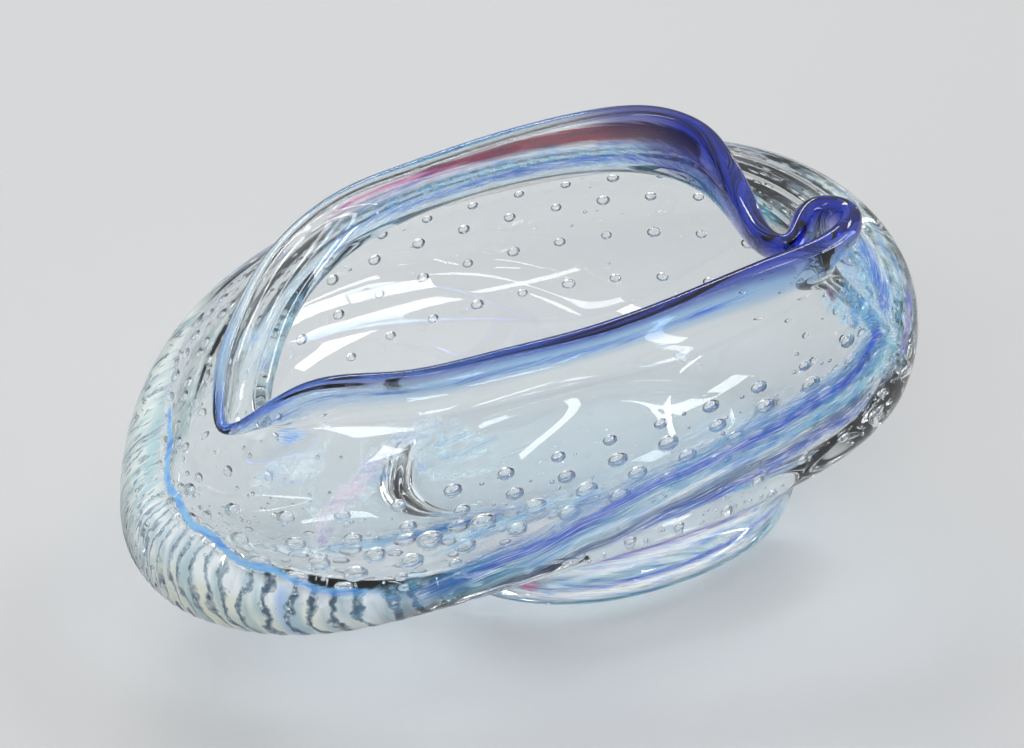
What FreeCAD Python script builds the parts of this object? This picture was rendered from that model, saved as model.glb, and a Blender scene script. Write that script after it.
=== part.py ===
import FreeCAD, Part
import itertools
import math
import os

# A blown glass bowl in one piece: an oval foot, a bulge over it, a waist, a thick body that hangs out
# over the waist on the left, and a mouth folded like a leaf, with a beak on the left and a curl on
# the right. Rows of air bubbles are held in the wall. Lengths are in millimetres. +X runs along the
# bowl to the curl, and +Z is up.
#
# The skin is one smooth surface over rows of poles. A row runs round the bowl, and the rows go from
# the foot up the outside, over the lip and down the inside to the floor of the hollow.

# foot, an oval ground flat, whose middle is the origin
foot_half_length = 34.0
foot_half_width = 24.0
foot_edge_round = 4.0

# bulge over the foot, and the waist over the bulge
bulge_x = -3.0
bulge_y = 0.5
bulge_half_length = 51.5
bulge_half_width = 42.0
bulge_height = 8.5
waist_x = 0.0
waist_y = 7.0
waist_half_length = 59.0
waist_half_width = 42.0
waist_height = 17.0
oval_squareness = 2.3

# shoulder, the widest line of the body: how far it reaches from the middle of the mouth,
# every 22.5 degrees against the clock from +X, and the tilted plane that it lies near
middle_x = -28.0
middle_y = 1.0
shoulder_reach = [112, 105, 87, 76, 75, 81, 89, 96.5, 99.5, 79, 54, 44.5, 44, 50, 69, 102]
shoulder_height = 46.5
shoulder_rise_to_right = 0.14
shoulder_rise_to_back = 0.21
shoulder_half_depth = 9.5
lobe_sag = 5.0

# lip line, going round against the clock from the beak: x, y and height of the lip's middle
lip_line = [
    (-102.0, 3.0, 62.0),
    (-87.5, -6.5, 74.0),
    (-69.5, -19.0, 78.5),
    (-48.0, -25.5, 80.5),
    (-24.5, -30.0, 82.0),
    (-0.5, -33.5, 85.5),
    (17.0, -37.5, 90.0),
    (30.0, -41.0, 93.5),
    (40.0, -38.5, 95.0),
    (43.5, -32.0, 95.0),
    (39.0, -27.0, 94.5),
    (32.5, -29.5, 93.0),
    (26.5, -32.0, 91.0),
    (25.0, -24.5, 91.0),
    (28.5, -12.0, 92.5),
    (31.5, 2.5, 96.0),
    (31.0, 13.5, 98.5),
    (21.5, 23.5, 100.5),
    (2.5, 30.0, 100.0),
    (-18.0, 34.0, 98.0),
    (-38.5, 37.0, 95.0),
    (-56.0, 39.0, 91.0),
    (-72.5, 37.0, 83.5),
    (-86.0, 29.0, 76.0),
    (-95.5, 20.5, 69.0),
    (-101.0, 12.0, 64.0),
]
beak_lip_radius = 1.6
curl_lip_radius = 3.1
lip_fullness = 1.2

# neck under the lip, which stands inside the lip where the left end flares out
neck_drop = 10.0
neck_smoothing_rounds = 5
flare = 9.0
flare_x = -98.0
flare_y = 23.0
flare_spread = 35.0

# thickness of the glass
upper_wall = 5.0
middle_wall = 7.5
body_wall = 10.0
lobe_wall = 17.0
base_thickness = 15.0

# hollow inside the body
floor_x = -8.0
floor_y = 7.0
floor_half_length = 38.0
floor_half_width = 26.0
hollow_rise = 4.0

# rows of poles between two levels: how far they have come from one to the other, level and in height
tuck_under_bulge = (0.85, 0.35)
swell_under_shoulder = (0.55, 0.3)
lower_wall_lean = (0.18, 0.45)
higher_wall_lean = (0.55, 0.8)
hollow_sweep = (0.25, 0.55)
floor_shares = (0.5, 0.8)

# air bubbles in rows round the wall: the rows are counted from the foot as rows of poles are, and the
# bubbles lie under the inner surface, nearer to it and smaller where the wall is thin
bubble_rows = (5.0, 5.4, 5.8, 6.2, 6.6, 7.0, 7.4)
bubble_spacing = 13.0
least_bubble_spacing = 5.0
bubble_radius = 1.7
bubble_cover = 3.4
deepest_bubble_in_wall = 0.4
widest_bubble_in_wall = 0.18
least_bubble_cover = 0.8


def smoothed(line, rounds):
    for _ in range(rounds):
        count = len(line)
        line = [
            tuple((line[i - 1][c] + 2 * line[i][c] + line[(i + 1) % count][c]) / 4 for c in range(3))
            for i in range(count)
        ]
    return line


def poles_through(line):
    # poles of a closed cubic curve that passes through the points of a line
    tries = 12
    count = len(line)
    poles = [list(point) for point in line]
    for _ in range(tries):
        before = poles[-1:] + poles[:-1]
        after = poles[1:] + poles[:1]
        for i in range(count):
            passes = [(a + 4 * b + c) / 6 for a, b, c in zip(before[i], poles[i], after[i])]
            poles[i] = [b + aim - now for b, aim, now in zip(poles[i], line[i], passes)]
    return poles


def outward(line):
    # level directions that point out of a closed line
    count = len(line)
    directions = []
    for i in range(count):
        along_x = line[(i + 1) % count][0] - line[i - 1][0]
        along_y = line[(i + 1) % count][1] - line[i - 1][1]
        size = math.hypot(along_x, along_y)
        directions.append((along_y / size, -along_x / size))
    return directions


def moved(line, directions, distances, rise=0.0):
    return [
        (p[0] + d[0] * distance, p[1] + d[1] * distance, p[2] + rise)
        for p, d, distance in zip(line, directions, distances)
    ]


def sunk(line, shares):
    return [(p[0], p[1], p[2] - lobe_sag * share) for p, share in zip(line, shares)]


def between(lower, upper, shares):
    level_share, height_share = shares
    return [
        (
            a[0] + (b[0] - a[0]) * level_share,
            a[1] + (b[1] - a[1]) * level_share,
            a[2] + (b[2] - a[2]) * height_share,
        )
        for a, b in zip(lower, upper)
    ]


def inside_of(line, lower, upper, thickness):
    # the inside of a wall that leans from a lower row to an upper one
    points = []
    for p, out, a, b in zip(line, outward(line), lower, upper):
        lean = math.hypot(b[0] - a[0], b[1] - a[1])
        rise = b[2] - a[2]
        slope = math.hypot(lean, rise)
        back = thickness * rise / slope
        points.append((p[0] - out[0] * back, p[1] - out[1] * back, p[2] - thickness * lean / slope))
    return points


def oval(x, y, half_length, half_width, height, angles):
    points = []
    for angle in angles:
        across = abs(math.cos(angle) / half_length) ** oval_squareness
        along = abs(math.sin(angle) / half_width) ** oval_squareness
        reach = (across + along) ** (-1 / oval_squareness)
        points.append((x + reach * math.cos(angle), y + reach * math.sin(angle), height))
    return points


def shoulder_point(angle):
    # smooth reach between two of the given ones
    count = len(shoulder_reach)
    place = (angle / (2 * math.pi) * count) % count
    first = int(place)
    t = place - first
    a, b, c, d = [shoulder_reach[(first + step - 1) % count] for step in range(4)]
    reach = b + 0.5 * t * (c - a + t * (2 * a - 5 * b + 4 * c - d + t * (3 * (b - c) + d - a)))
    x = middle_x + reach * math.cos(angle)
    y = middle_y + reach * math.sin(angle)
    return (x, y, shoulder_height + shoulder_rise_to_right * x + shoulder_rise_to_back * y)


def lip_radius(x):
    beak_x = lip_line[0][0]
    share = min(1.0, max(0.0, (x - beak_x) / (max(p[0] for p in lip_line) - beak_x)))
    return beak_lip_radius + (curl_lip_radius - beak_lip_radius) * share**3


def flare_at(point):
    away = math.hypot(point[0] - flare_x, point[1] - flare_y)
    return flare * math.exp(-((away / flare_spread) ** 2))


def bowl_rings():
    # closed rows of poles, from the foot up the outside, over the lip and down the inside
    lip = poles_through(lip_line)
    lip_out = outward(lip_line)
    radii = [lip_fullness * lip_radius(point[0]) for point in lip_line]

    soft_line = smoothed(lip_line, neck_smoothing_rounds)
    neck_out = outward(soft_line)
    neck = moved(soft_line, neck_out, [-flare_at(point) for point in lip_line], -neck_drop)

    shoulder = [shoulder_point(math.atan2(p[1] - middle_y, p[0] - middle_x)) for p in neck]
    angles = [math.atan2(p[1], p[0]) for p in shoulder]
    level = [0.0] * len(neck)

    foot_edge = oval(0.0, 0.0, foot_half_length, foot_half_width, 0.0, angles)
    foot_round = moved(foot_edge, outward(foot_edge), [foot_edge_round] * len(angles))
    bulge = oval(bulge_x, bulge_y, bulge_half_length, bulge_half_width, bulge_height, angles)
    under_bulge = between(foot_round, bulge, tuck_under_bulge)
    waist = oval(waist_x, waist_y, waist_half_length, waist_half_width, waist_height, angles)
    # the lobe, far out over the waist, sank while it was hot
    lobe_reach = max(-point[0] for point in shoulder)
    lobe_shares = [max(0.0, -point[0] / lobe_reach) ** 2 for point in shoulder]
    under_shoulder = sunk(between(waist, shoulder, swell_under_shoulder), lobe_shares)
    shoulder_low = sunk(moved(shoulder, neck_out, level, -shoulder_half_depth), lobe_shares)
    shoulder_high = moved(shoulder, neck_out, level, shoulder_half_depth)
    lower_wall = between(shoulder, neck, lower_wall_lean)
    higher_wall = between(shoulder, neck, higher_wall_lean)
    rings = [foot_edge, foot_round, under_bulge, bulge, waist, under_shoulder, shoulder_low]
    rings += [shoulder_high, lower_wall, higher_wall]
    rings.append(moved(neck, neck_out, [upper_wall / 2] * len(neck)))

    # four rows of poles round the lip make it a bead
    for side, rise in ((1, -1), (1, 1), (-1, 1), (-1, -1)):
        ring = [
            (p[0] + side * d[0] * r, p[1] + side * d[1] * r, p[2] + rise * r)
            for p, d, r in zip(lip, lip_out, radii)
        ]
        rings.append(ring)

    rings.append(moved(neck, neck_out, [-upper_wall / 2] * len(neck)))
    rings.append(inside_of(higher_wall, lower_wall, neck, upper_wall))
    rings.append(inside_of(lower_wall, shoulder_high, higher_wall, middle_wall))
    walls = [body_wall + (lobe_wall - body_wall) * share for share in lobe_shares]
    hollow = moved(shoulder, outward(shoulder), [-wall for wall in walls], hollow_rise)
    floor_edge = oval(floor_x, floor_y, floor_half_length, floor_half_width, base_thickness, angles)
    floor_middle = [(floor_x, floor_y, base_thickness)] * len(neck)
    rings.append(hollow)
    rings.append(between(hollow, floor_edge, hollow_sweep))
    rings.append(floor_edge)
    for share in floor_shares:
        rings.append(between(floor_edge, floor_middle, (share, share)))
    return rings


def smooth_skin(rings):
    # cubic surface over rows of poles, closed round the bowl and ending at its first and last row
    around = len(rings[0])
    up = len(rings)
    poles = [[FreeCAD.Vector(*ring[i]) for ring in rings] for i in range(around)]
    skin = Part.BSplineSurface()
    skin.buildFromPolesMultsKnots(
        poles,
        [1] * (around + 1),
        [4] + [1] * (up - 4) + [4],
        list(range(around + 1)),
        list(range(up - 2)),
        True,
        False,
        3,
        3,
    )
    return skin


def bowl_shell(skin):
    sides = skin.toShape()
    first, last = skin.bounds()[2:]
    caps = [Part.Face(Part.Wire(skin.vIso(end).toShape())) for end in (first, last)]
    shell = Part.Shell([sides] + caps)
    shell.sewShape()
    if Part.Solid(shell).Volume < 0:
        shell.reverse()
    return shell


def ball_shell():
    # a ball of radius 1 with 20 flat faces, whose corners lie on three crossed golden rectangles
    golden = (1 + math.sqrt(5)) / 2
    half_edge = 1 / math.hypot(1, golden)
    corners = []
    for short, long in itertools.product((-1, 1), (-golden, golden)):
        corners += [(0, short, long), (short, long, 0), (long, 0, short)]
    corners = [FreeCAD.Vector(*corner) * half_edge for corner in corners]
    longest_edge = 2.1 * half_edge
    faces = []
    for a, b, c in itertools.combinations(corners, 3):
        if max((a - b).Length, (b - c).Length, (c - a).Length) < longest_edge:
            faces.append(Part.Face(Part.makePolygon([a, b, c, a])))
    return Part.Shell(faces)


def wall_line(skin, row):
    # points round the bowl inside the wall, each with the thickness of the glass there
    steps = 400
    inner_row = skin.NbVPoles - row
    line = []
    for step in range(steps + 1):
        around = skin.bounds()[1] * step / steps
        inside = skin.value(around, inner_row)
        wall = (skin.value(around, row) - inside).Length
        depth = min(bubble_cover, deepest_bubble_in_wall * wall)
        line.append((inside - skin.normal(around, inner_row) * depth, wall))
    return line


def depth_in_glass(skin, point):
    # how far under the skin a point lies, the normal of the skin pointing out of the glass
    around, row = skin.parameter(point)
    return (skin.value(around, row) - point).dot(skin.normal(around, row))


def bubble_places(skin):
    # bubbles an even distance apart along each row, each row half a step on from the last, and
    # none where another lies too near or the glass is too thin: middle and radius
    bubbles = []
    for number, row in enumerate(bubble_rows):
        ahead = bubble_spacing / 2 * (number % 2)
        line = wall_line(skin, row)
        for (start, wall), (end, _) in zip(line, line[1:]):
            run = (end - start).Length
            while ahead < run:
                place = start + (end - start) * (ahead / run)
                radius = min(bubble_radius, widest_bubble_in_wall * wall)
                apart = all((place - other).Length > least_bubble_spacing for other, _ in bubbles)
                if apart and depth_in_glass(skin, place) > radius + least_bubble_cover:
                    bubbles.append((place, radius))
                ahead += bubble_spacing
            ahead -= run
    return bubbles


def bubble_shells(skin):
    ball = ball_shell()
    bubbles = []
    for place, radius in bubble_places(skin):
        bubble = ball.scaled(radius)
        bubble.translate(place)
        bubble.reverse()
        bubbles.append(bubble)
    return bubbles


def glass_bowl():
    skin = smooth_skin(bowl_rings())
    return Part.Solid(Part.Compound([bowl_shell(skin)] + bubble_shells(skin)))


os.makedirs("parts", exist_ok=True)
bowl = glass_bowl()
print("glass_bowl", bowl.isValid(), len(bowl.Shells), "shells", round(bowl.Volume), "mm3", bowl.BoundBox)
bowl.exportStep("parts/glass_bowl.step")
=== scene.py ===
import math
import random

import bmesh
import bpy
from mathutils import Matrix, Vector


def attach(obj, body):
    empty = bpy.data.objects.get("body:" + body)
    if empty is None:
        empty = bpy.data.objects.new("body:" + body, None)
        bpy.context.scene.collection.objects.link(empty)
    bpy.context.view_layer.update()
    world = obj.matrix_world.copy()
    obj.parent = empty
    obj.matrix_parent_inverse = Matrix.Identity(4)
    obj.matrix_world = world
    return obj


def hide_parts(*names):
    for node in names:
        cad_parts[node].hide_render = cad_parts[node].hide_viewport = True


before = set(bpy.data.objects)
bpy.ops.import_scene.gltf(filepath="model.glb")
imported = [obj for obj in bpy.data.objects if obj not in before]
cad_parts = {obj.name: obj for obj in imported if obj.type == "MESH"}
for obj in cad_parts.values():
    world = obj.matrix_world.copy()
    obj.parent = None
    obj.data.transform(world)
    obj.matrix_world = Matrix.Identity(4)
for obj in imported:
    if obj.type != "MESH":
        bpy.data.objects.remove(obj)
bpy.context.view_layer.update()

mm = 0.001


# the bowl's form

bowl = {
    "footHalfLength": 34.0, "footHalfWidth": 24.0, "footEdgeRound": 4.0,
    "bulge": (-3.0, 0.5, 51.5, 42.0), "bulgeHeight": 8.5,
    "waist": (0.0, 7.0, 59.0, 42.0), "waistHeight": 17.0,
    "squareness": 2.3,
    "middle": (-28.0, 1.0),
    "shoulderReach": [112, 105, 87, 76, 75, 81, 89, 96.5, 99.5, 79, 54, 44.5, 44, 50, 69, 102],
    "shoulderHeight": 46.5, "riseToRight": 0.14, "riseToBack": 0.21, "shoulderHalfDepth": 9.5,
    "lobeSag": 5.0,
    "lipLine": [
        (-102.0, 3.0, 62.0), (-87.5, -6.5, 74.0), (-69.5, -19.0, 78.5), (-48.0, -25.5, 80.5),
        (-24.5, -30.0, 82.0), (-0.5, -33.5, 85.5), (17.0, -37.5, 90.0), (30.0, -41.0, 93.5),
        (40.0, -38.5, 95.0), (43.5, -32.0, 95.0), (39.0, -27.0, 94.5), (32.5, -29.5, 93.0),
        (26.5, -32.0, 91.0), (25.0, -24.5, 91.0), (28.5, -12.0, 92.5), (31.5, 2.5, 96.0),
        (31.0, 13.5, 98.5), (21.5, 23.5, 100.5), (2.5, 30.0, 100.0), (-18.0, 34.0, 98.0),
        (-38.5, 37.0, 95.0), (-56.0, 39.0, 91.0), (-72.5, 37.0, 83.5), (-86.0, 29.0, 76.0),
        (-95.5, 20.5, 69.0), (-101.0, 12.0, 64.0),
    ],
    "beakLipRadius": 1.6, "curlLipRadius": 3.1, "lipFullness": 1.2,
    "neckDrop": 10.0, "neckSmoothing": 5, "flare": 9.0, "flareAt": (-98.0, 23.0), "flareSpread": 35.0,
    "upperWall": 5.0, "middleWall": 7.5, "bodyWall": 10.0, "lobeWall": 17.0, "base": 15.0,
    "floor": (-8.0, 7.0, 38.0, 26.0), "hollowRise": 4.0,
    "tuckUnderBulge": (0.85, 0.35), "swellUnderShoulder": (0.55, 0.3),
    "lowerWallLean": (0.18, 0.45), "higherWallLean": (0.55, 0.8),
    "hollowSweep": (0.25, 0.55), "floorShares": (0.5, 0.8),
    # fine upright ribs on the lobe: where they are strongest and how far they reach (share around,
    # ring), how many go into a turn, their depth, and how they sway up the wall and around it
    "ribPlace": (0.03, 5.6), "ribReach": (0.09, 1.5), "ribsAround": 165, "ribDepth": 0.15,
    "ribSwayUp": (0.4, 3.1), "ribSwayAround": (0.6, 31.0),
    "fitRounds": 12,
    # points around and up, and how they are packed at the left end
    "around": 560, "up": 136, "packing": 0.08, "packedAt": 0.03,
}


def smoothed(line, rounds):
    for _ in range(rounds):
        n = len(line)
        line = [(line[i - 1] + 2 * line[i] + line[(i + 1) % n]) / 4 for i in range(n)]
    return line


def polesThrough(line):
    # poles of a closed spline that passes through every point of the line
    poles = list(line)
    n = len(line)
    for _ in range(bowl["fitRounds"]):
        missed = [line[i] - (poles[i - 1] + 4 * poles[i] + poles[(i + 1) % n]) / 6 for i in range(n)]
        poles = [pole + miss for pole, miss in zip(poles, missed)]
    return poles


def outward(line):
    n = len(line)
    runs = [line[(i + 1) % n] - line[i - 1] for i in range(n)]
    return [Vector((run.y, -run.x, 0)).normalized() for run in runs]


def moved(line, ways, distances, rise=0.0):
    return [p + w * d + Vector((0, 0, rise)) for p, w, d in zip(line, ways, distances)]


def sunk(line, shares):
    return [p - Vector((0, 0, bowl["lobeSag"] * share)) for p, share in zip(line, shares)]


def between(low, high, shares):
    share = Vector((shares[0], shares[0], shares[1]))
    return [a + (b - a) * share for a, b in zip(low, high)]


def insideOf(line, low, high, thickness):
    # the inside of a wall that leans from one ring to a higher one
    ring = []
    for p, out, a, b in zip(line, outward(line), low, high):
        run = b - a
        drop = Vector((0, 0, thickness * run.xy.length / run.length))
        ring.append(p - out * thickness * run.z / run.length - drop)
    return ring


def oval(x, y, halfLength, halfWidth, height, angles):
    k = bowl["squareness"]
    ring = []
    for a in angles:
        reach = (abs(math.cos(a) / halfLength) ** k + abs(math.sin(a) / halfWidth) ** k) ** (-1 / k)
        ring.append(Vector((x + reach * math.cos(a), y + reach * math.sin(a), height)))
    return ring


def shoulderPoint(angle):
    reaches = bowl["shoulderReach"]
    n = len(reaches)
    place = (angle / (2 * math.pi) * n) % n
    first = int(place)
    t = place - first
    a, b, c, d = [reaches[(first + step - 1) % n] for step in range(4)]
    reach = b + 0.5 * t * (c - a + t * (2 * a - 5 * b + 4 * c - d + t * (3 * (b - c) + d - a)))
    x = bowl["middle"][0] + reach * math.cos(angle)
    y = bowl["middle"][1] + reach * math.sin(angle)
    return Vector((x, y, bowl["shoulderHeight"] + bowl["riseToRight"] * x + bowl["riseToBack"] * y))


def lipRadius(x):
    xs = [p[0] for p in bowl["lipLine"]]
    share = min(1.0, max(0.0, (x - xs[0]) / (max(xs) - xs[0])))
    return bowl["beakLipRadius"] + (bowl["curlLipRadius"] - bowl["beakLipRadius"]) * share ** 3


def bowlRings():
    # rings of spline poles, from the foot up the outside, over the lip and down the inside
    line = [Vector(p) for p in bowl["lipLine"]]
    lipPoles = polesThrough(line)
    lipOut = outward(line)
    radii = [bowl["lipFullness"] * lipRadius(p.x) for p in line]
    soft = smoothed(line, bowl["neckSmoothing"])
    neckOut = outward(soft)
    flareAt = Vector(bowl["flareAt"])
    flares = [bowl["flare"] * math.exp(-((p.xy - flareAt).length / bowl["flareSpread"]) ** 2) for p in line]
    neck = moved(soft, neckOut, [-f for f in flares], -bowl["neckDrop"])
    midX, midY = bowl["middle"]
    shoulder = [shoulderPoint(math.atan2(p.y - midY, p.x - midX)) for p in neck]
    angles = [math.atan2(p.y, p.x) for p in shoulder]
    count = len(neck)
    lobeReach = max(-p.x for p in shoulder)
    lobeShares = [max(0.0, -p.x / lobeReach) ** 2 for p in shoulder]

    footEdge = oval(0, 0, bowl["footHalfLength"], bowl["footHalfWidth"], 0, angles)
    footRound = moved(footEdge, outward(footEdge), [bowl["footEdgeRound"]] * count)
    bulge = oval(*bowl["bulge"], bowl["bulgeHeight"], angles)
    waist = oval(*bowl["waist"], bowl["waistHeight"], angles)
    deep = Vector((0, 0, bowl["shoulderHalfDepth"]))
    underShoulder = sunk(between(waist, shoulder, bowl["swellUnderShoulder"]), lobeShares)
    shoulderLow = sunk([p - deep for p in shoulder], lobeShares)
    shoulderHigh = [p + deep for p in shoulder]
    lowerWall = between(shoulder, neck, bowl["lowerWallLean"])
    higherWall = between(shoulder, neck, bowl["higherWallLean"])
    half = [bowl["upperWall"] / 2] * count
    rings = [
        footEdge, footRound, between(footRound, bulge, bowl["tuckUnderBulge"]), bulge, waist,
        underShoulder, shoulderLow, shoulderHigh, lowerWall, higherWall, moved(neck, neckOut, half),
    ]
    for side, rise in ((1, -1), (1, 1), (-1, 1), (-1, -1)):
        bead = zip(lipPoles, lipOut, radii)
        rings.append([p + w * side * r + Vector((0, 0, rise * r)) for p, w, r in bead])
    rings.append(moved(neck, neckOut, [-h for h in half]))
    rings.append(insideOf(higherWall, lowerWall, neck, bowl["upperWall"]))
    rings.append(insideOf(lowerWall, shoulderHigh, higherWall, bowl["middleWall"]))
    walls = [bowl["bodyWall"] + (bowl["lobeWall"] - bowl["bodyWall"]) * share for share in lobeShares]
    hollow = moved(shoulder, outward(shoulder), [-w for w in walls], bowl["hollowRise"])
    floorEdge = oval(*bowl["floor"], bowl["base"], angles)
    floorMiddle = [Vector((bowl["floor"][0], bowl["floor"][1], bowl["base"]))] * count
    rings += [hollow, between(hollow, floorEdge, bowl["hollowSweep"]), floorEdge]
    rings += [between(floorEdge, floorMiddle, (share, share)) for share in bowl["floorShares"]]
    return rings


def cubicWeights(t):
    return (
        (1 - t) ** 3 / 6,
        (3 * t ** 3 - 6 * t ** 2 + 4) / 6,
        (-3 * t ** 3 + 3 * t ** 2 + 3 * t + 1) / 6,
        t ** 3 / 6,
    )


def endedWeights(place, count):
    # weights of a cubic spline that starts at its first pole and stops at its last
    knots = [0] * 3 + list(range(count - 2)) + [count - 3] * 3
    place = min(place, count - 3 - 1e-9)  # just inside the last span
    k = int(place) + 3
    weights = {k: 1.0}
    for degree in (1, 2, 3):
        grown = {}
        for i in range(k - degree, k + 1):
            value = 0.0
            if i in weights and knots[i + degree] > knots[i]:
                value += (place - knots[i]) / (knots[i + degree] - knots[i]) * weights[i]
            if i + 1 in weights and knots[i + degree + 1] > knots[i + 1]:
                span = knots[i + degree + 1] - knots[i + 1]
                value += (knots[i + degree + 1] - place) / span * weights[i + 1]
            grown[i] = value
        weights = grown
    return weights


ringStore = {}  # rings that are already worked out


def ringAt(rings, place):
    key = round(place, 3)
    if key not in ringStore:
        weights = endedWeights(key, len(rings))
        ringStore[key] = [
            sum((rings[k][i] * w for k, w in weights.items()), Vector()) for i in range(len(rings[0]))
        ]
    return ringStore[key]


def wallRing(rings, place, depth):
    # ring inside the wall, a share of the way from the outside to the inside
    outside = ringAt(rings, place)
    inside = ringAt(rings, len(rings) - place)
    return [a + (b - a) * depth for a, b in zip(outside, inside)]


def pointOn(ring, around):
    n = len(ring)
    place = (around % 1.0) * n
    first = int(place)
    weights = cubicWeights(place - first)
    return sum((ring[(first - 1 + k) % n] * weights[k] for k in range(4)), Vector())


# colour along lines that follow the bowl: each point is (share around, ring, half width, strength)


def easedBetween(line, turn):
    # the values of a line at a place round the bowl, or none past its ends
    for start, end in zip(line, line[1:]):
        if start[0] <= turn <= end[0]:
            t = (turn - start[0]) / (end[0] - start[0])
            t = t * t * (3 - 2 * t)
            return [a + (b - a) * t for a, b in zip(start[1:], end[1:])]
    return None


def madeStrokes(toned):
    # each line with its tone and the rings that it stays between
    return [
        (Vector(tone), line, min(p[1] - p[2] for p in line), max(p[1] + p[2] for p in line))
        for tone, line in toned
    ]


def painted(strokes, ground, around, up, edge):
    # the tones of the lines that cross a place, each over those before it, and how much they cover
    colour, cover = Vector(ground), 0.0
    for tone, line, low, high in strokes:
        if not low < up < high:
            continue
        here = easedBetween(line, around) or easedBetween(line, around + 1)
        if not here:
            continue
        ring, half, strength = here
        w = strength * max(0.0, 1 - (abs(up - ring) / half) ** edge) if half else 0.0
        if w:
            colour = colour.lerp(tone, w / (w + cover * (1 - w)))
            cover += w * (1 - cover)
    return colour, cover


lip = {
    # how much of each colour the lip's glass lets through, and how square the edges of its lines are
    "cobalt": (0.0008, 0.005, 0.38), "royal": (0.003, 0.05, 0.56), "sky": (0.16, 0.45, 0.90),
    "pink": (0.82, 0.42, 0.66), "clear": (0.95, 0.98, 0.988), "edge": 3.6,
}
lipStrokes = madeStrokes([
    (lip["sky"], [(-0.001, 10.0, 0.6, 0.6), (0.12, 10.1, 0.6, 0.7), (0.28, 10.0, 0.7, 0.7),
                  (0.34, 9.9, 0.6, 0)]),
    (lip["sky"], [(0.86, 11.4, 0.9, 0), (0.93, 11.3, 1.0, 0.8), (1.0, 11.2, 1.3, 0.9)]),
    (lip["sky"], [(0.06, 11.3, 1.5, 0), (0.14, 11.3, 1.8, 0.7), (0.30, 11.4, 2.4, 0.7),
                  (0.34, 11.5, 2.4, 0)]),
    (lip["royal"], [(0.93, 11.5, 0.5, 0), (0.97, 11.5, 0.8, 0.8), (1.0, 11.4, 1.1, 1)]),
    (lip["royal"], [(-0.001, 11.4, 1.1, 1), (0.04, 11.5, 1.1, 1), (0.14, 11.5, 1.2, 1),
                    (0.22, 11.6, 1.3, 0)]),
    (lip["cobalt"], [(0.08, 11.6, 0.9, 0), (0.16, 11.6, 1.2, 1), (0.30, 11.7, 1.7, 1),
                     (0.50, 11.8, 2.3, 1), (0.62, 11.9, 2.3, 1), (0.66, 11.6, 1.7, 0.9),
                     (0.70, 11.3, 0.9, 0.3), (0.74, 11.2, 0.4, 0)]),
    (lip["pink"], [(0.70, 12.7, 0.35, 0), (0.76, 12.7, 0.35, 0.8), (0.84, 12.8, 0.3, 0)]),
    (lip["pink"], [(0.76, 10.6, 0.3, 0), (0.80, 10.6, 0.3, 0.7), (0.86, 10.7, 0.3, 0)]),
])


# air bubbles in rows round the wall, as in the solid, and small ones between them

bubbles = {
    "rows": (5.0, 5.4, 5.8, 6.2, 6.6, 7.0, 7.4), "spacing": 13.0, "leastSpacing": 5.0,
    # the far wall's bubbles above a ring are larger
    "radius": 1.5, "mouthRadius": 2.6, "mouthFrom": 6.1, "smallestShare": 0.75,
    # distance from the inside, and that and the radius as shares of the wall
    "cover": 3.4, "deepestInWall": 0.4, "widestInWall": 0.27, "smallInWall": 0.1,
    "stretch": 1.35, "flatten": 0.72, "seed": 7, "rounds": 2, "smallRounds": 1,
    # places looked at along a row, and steps that give the ways along and up the skin
    "looks": 400, "alongStep": 0.002, "upStep": 0.02,
    # how many, share around, ring, depth in the wall, radius
    "small": [
        (240, (0.02, 0.52), (4.6, 7.4), (0.1, 0.7), (0.25, 0.6)),
        (120, (0.24, 0.52), (5.6, 8.2), (0.2, 0.8), (0.25, 0.7)),
        (90, (0.10, 0.34), (1.4, 3.2), (0.05, 0.3), (0.25, 0.6)),
        (220, (0.84, 1.10), (4.2, 6.8), (0.1, 0.8), (0.3, 0.75)),
        (120, (0.50, 0.86), (5.0, 8.8), (0.3, 0.8), (0.25, 0.6)),
    ],
}


def skinFrame(rings, around, up):
    # a point on the skin, and the ways along it, up it and out of the glass there
    step = bubbles["alongStep"]
    ring = ringAt(rings, up)
    point = pointOn(ring, around)
    along = (pointOn(ring, around + step) - pointOn(ring, around - step)).normalized()
    climb = pointOn(ringAt(rings, up + bubbles["upStep"]), around) - point
    out = along.cross(climb).normalized()
    return point, along, out


def addBubble(bm, middle, along, out, radius, rounds):
    ways = Matrix((along, out.cross(along), out)).transposed()
    sizes = Matrix.Diagonal((radius * bubbles["stretch"], radius, radius * bubbles["flatten"]))
    place = Matrix.Translation(middle) @ (ways @ sizes).to_4x4()
    bmesh.ops.create_icosphere(bm, subdivisions=rounds, radius=1, matrix=Matrix.Scale(mm, 4) @ place)


def rowOfBubbles(rings, number, up):
    # places an even distance apart along a row, each row half a step on from the last
    inner = len(rings) - up
    steps = bubbles["looks"]
    line = []
    for i in range(steps + 1):
        point, along, out = skinFrame(rings, i / steps, inner)
        wall = (pointOn(ringAt(rings, up), i / steps) - point).length
        deep = min(bubbles["cover"], bubbles["deepestInWall"] * wall)
        line.append((point - out * deep, wall, along, out))
    ahead = bubbles["spacing"] / 2 * (number % 2)
    for start, end in zip(line, line[1:]):
        run = (end[0] - start[0]).length
        while ahead < run:
            yield start[0].lerp(end[0], ahead / run), *start[1:]
            ahead += bubbles["spacing"]
        ahead -= run


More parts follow.
